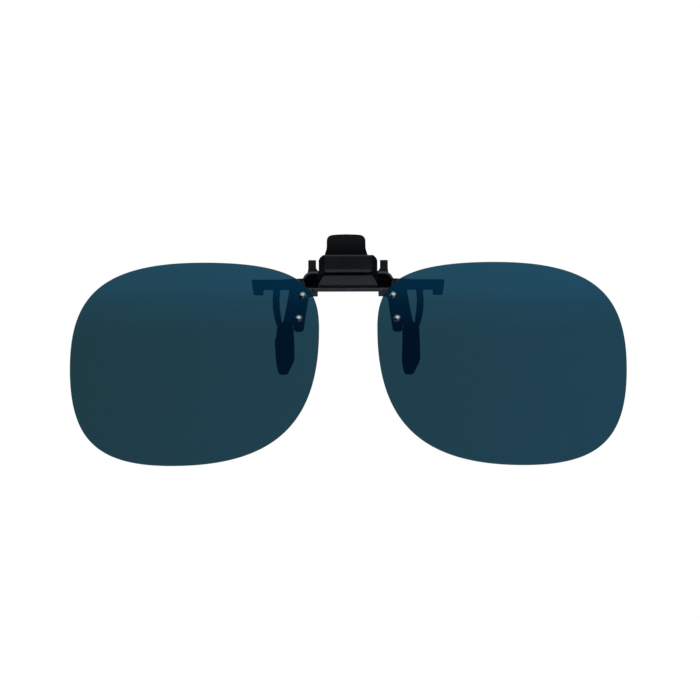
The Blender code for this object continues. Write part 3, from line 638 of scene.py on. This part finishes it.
def washer(side, level, finish):
    """A stamped ring with rolled outer edges."""
    node = f"washer_{side}_{level}"
    low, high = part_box(node)
    middle_y = (low.y + high.y) / 2
    radius, hole = (high.z - low.z) / 2, RIVET_HOLE
    front, back = middle_y - WASHER_HALF, middle_y + WASHER_HALF
    roll, bevel, chamfer = WASHER_ROLL, WASHER_BEVEL, 0.3 * WASHER_ROLL
    profile = [
        (hole, front + bevel), (hole + bevel, front), (radius - roll, front),
        (radius - chamfer, front + chamfer), (radius, front + roll), (radius, back - roll),
        (radius - chamfer, back - chamfer), (radius - roll, back), (hole + bevel, back),
        (hole, back - bevel),
    ]
    lean = lean_at_rivets(side)
    mesh = turned([*profile, profile[0]], rivet_place(side, level), f"steel_{node}", lean=lean)
    weld(mesh)
    return settle(linked(f"steel_{node}", mesh, finish), "lens_carrier", "washer_steel", node)


def weld(mesh):
    """Joins the points of a mesh that coincide."""
    bm = bmesh.new()
    bm.from_mesh(mesh)
    bmesh.ops.remove_doubles(bm, verts=bm.verts, dist=0.0005 * MM)
    bmesh.ops.recalc_face_normals(bm, faces=bm.faces)
    bm.to_mesh(mesh)
    bm.free()


# ---------------------------------------------------------------- studio


def floor():
    """A plain pale floor well below the lenses. Glossy surfaces see the soft studio instead of it."""
    bm = bmesh.new()
    bmesh.ops.create_circle(bm, cap_ends=True, segments=96, radius=FLOOR_RADIUS)
    mesh = bpy.data.meshes.new("floor")
    bm.to_mesh(mesh)
    bm.free()
    made, _, shader = new_material("floor_paper")
    shader.inputs["Base Color"].default_value = (0.93, 0.93, 0.93, 1.0)
    shader.inputs["Roughness"].default_value = 0.9
    shader.inputs["Specular IOR Level"].default_value = 0.1
    ground = linked("floor", mesh, made)
    ground.location.z = FLOOR_Z
    ground.visible_glossy = False


def studio():
    """White surroundings to look at. What shines on the object is white behind it and dim in front.

    In front, the light grows from dim at eye level to a soft box that fills the upper part.
    """
    world = bpy.data.worlds.new("studio")
    world.use_nodes = True
    tree = world.node_tree
    tree.nodes.clear()
    out = tree.nodes.new("ShaderNodeOutputWorld")
    direction = add(tree, "TexCoord").outputs["Generated"]
    parts = add(tree, "SeparateXYZ", None, Vector=direction).outputs
    ramp = tree.nodes.new("ShaderNodeValToRGB")
    tree.links.new(ranged(tree, parts["Z"], -1.0, 1.0, 0.0, 1.0), ramp.inputs[0])
    ramp.color_ramp.interpolation = "EASE"
    while len(ramp.color_ramp.elements) < len(SOFT_BOX):
        ramp.color_ramp.elements.new(0.5)
    for element, (place, value) in zip(ramp.color_ramp.elements, SOFT_BOX):
        element.position = 0.5 + 0.5 * place
        element.color = (0.94 * value, value, 1.04 * value, 1.0)
    # The soft box dims towards the sides, down to a fifth.
    narrow = eased(tree, combined(tree, "ABSOLUTE", parts["X"]), 0.25, 0.75, 1.0, 0.2)
    box = add(tree, "Mix", {"data_type": "RGBA", "blend_type": "MULTIPLY"})
    box.inputs[0].default_value = 1.0
    tree.links.new(ramp.outputs[0], box.inputs[6])
    tree.links.new(narrow, box.inputs[7])
    # Behind the object, everything is white.
    around = add(tree, "Mix", {"data_type": "RGBA"})
    tree.links.new(eased(tree, parts["Y"], 0.0, 0.4, 0.0, 1.0), around.inputs[0])
    tree.links.new(box.outputs[2], around.inputs[6])
    around.inputs[7].default_value = (1.0, 1.0, 1.0, 1.0)
    dome = add(tree, "Background", None, Color=around.outputs[2], Strength=1.0)
    white = add(tree, "Background", None, Strength=1.0)
    white.inputs["Color"].default_value = (1.0, 1.0, 1.0, 1.0)
    path = tree.nodes.new("ShaderNodeLightPath").outputs
    looked_at = combined(tree, "MAXIMUM", path["Is Camera Ray"], path["Is Transmission Ray"])
    mix = tree.nodes.new("ShaderNodeMixShader")
    tree.links.new(looked_at, mix.inputs[0])
    tree.links.new(dome.outputs[0], mix.inputs[1])
    tree.links.new(white.outputs[0], mix.inputs[2])
    tree.links.new(mix.outputs[0], out.inputs["Surface"])
    bpy.context.scene.world = world
    bpy.context.scene.view_settings.view_transform = "Standard"


def reflector():
    """A card close in front that glows more and more towards the right, and fades out at its edges.

    Only glossy surfaces see it.
    """
    upright = Matrix.Rotation(math.radians(90), 4, "X")
    bm = bmesh.new()
    bmesh.ops.create_grid(bm, x_segments=1, y_segments=1, size=CARD_HALF, matrix=upright)
    mesh = bpy.data.meshes.new("reflector")
    bm.to_mesh(mesh)
    bm.free()
    made = bpy.data.materials.new("reflector_card")
    made.use_nodes = True
    tree = made.node_tree
    tree.nodes.clear()
    spot = add(tree, "SeparateXYZ", None, Vector=place_of(tree)).outputs
    strength = ranged(tree, spot["X"], -0.1, 0.1, 0.0, CARD_GLOW)
    for along, full in (("X", 0.1), ("Z", 0.06)):
        fade = eased(tree, combined(tree, "ABSOLUTE", spot[along]), full, CARD_HALF, 1.0, 0.0)
        strength = combined(tree, "MULTIPLY", strength, fade)
    light = add(tree, "Emission", None, Strength=strength)
    light.inputs["Color"].default_value = (0.5, 0.67, 1.0, 1.0)
    clear = tree.nodes.new("ShaderNodeBsdfTransparent")
    both = tree.nodes.new("ShaderNodeAddShader")
    tree.links.new(light.outputs[0], both.inputs[0])
    tree.links.new(clear.outputs[0], both.inputs[1])
    out = tree.nodes.new("ShaderNodeOutputMaterial")
    tree.links.new(both.outputs[0], out.inputs["Surface"])
    card = linked("reflector", mesh, made)
    card.location = (0, CARD_Y, CARD_Z)
    for ray in ("camera", "diffuse", "transmission", "shadow", "volume_scatter"):
        setattr(card, f"visible_{ray}", False)


def overhead():
    """A wide soft light above, which keeps the floor white. It adds no glint."""
    light = bpy.data.lights.new("overhead", "AREA")
    light.shape = "SQUARE"
    light.size = 2.4
    light.energy = 28.0
    made = bpy.data.objects.new("overhead", light)
    bpy.context.scene.collection.objects.link(made)
    made.location.z = 1.3
    made.visible_camera = False
    made.visible_glossy = False


def camera():
    """A long lens, square to the front, with the object across four fifths of the picture."""
    low, high = CAD_BOX
    data = bpy.data.cameras.new("camera")
    data.sensor_width = SENSOR
    data.lens = SENSOR * CAMERA_DISTANCE / ((high.x - low.x) * PICTURE_SHARE)
    data.clip_start, data.clip_end = 0.1, 20.0
    made = bpy.data.objects.new("camera", data)
    bpy.context.scene.collection.objects.link(made)
    made.location = (AIM_X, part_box("lens_left")[0].y - CAMERA_DISTANCE, AIM_Z)
    made.rotation_euler = (math.radians(90), math.radians(CAMERA_ROLL), 0)
    bpy.context.scene.camera = made


# ---------------------------------------------------------------- the object


def build():
    """Every piece on its body but the closing spring, and the finishes of the CAD nodes that stay."""
    finish = make_materials()
    for side in SIDES:
        lens(side, (finish["lens"], finish["edge"]))
        for level in LEVELS:
            rivet(side, level, finish["rivet"])
            washer(side, level, finish["washer"])
    bracket(finish["bracket"], finish["painted_pocket_shade"])
    lever(finish["lever"])
    base = softened("clip_base", "base_moulding", finish["base"], BASE_FACE_SHARE)
    settle(base, "clip", "black_moulding", "clip_base")
    housing = softened("spring_housing", "housing_cover", finish["housing"])
    settle(housing, "clip", "black_moulding", "spring_housing")
    for side in SIDES:
        for row, body in (("front", "clip"), ("rear", "clamp")):
            grip(row, side, body, finish["rubber"])
    closing_spring(finish["spring"])
    for node, key in (("flip_pin", "shade_dark_pin"), ("clamp_pin", "pin"), ("detent_spring", "spring")):
        NODES[node].data.materials.clear()
        NODES[node].data.materials.append(finish[key])


camera()
studio()
reflector()
overhead()
floor()
build()
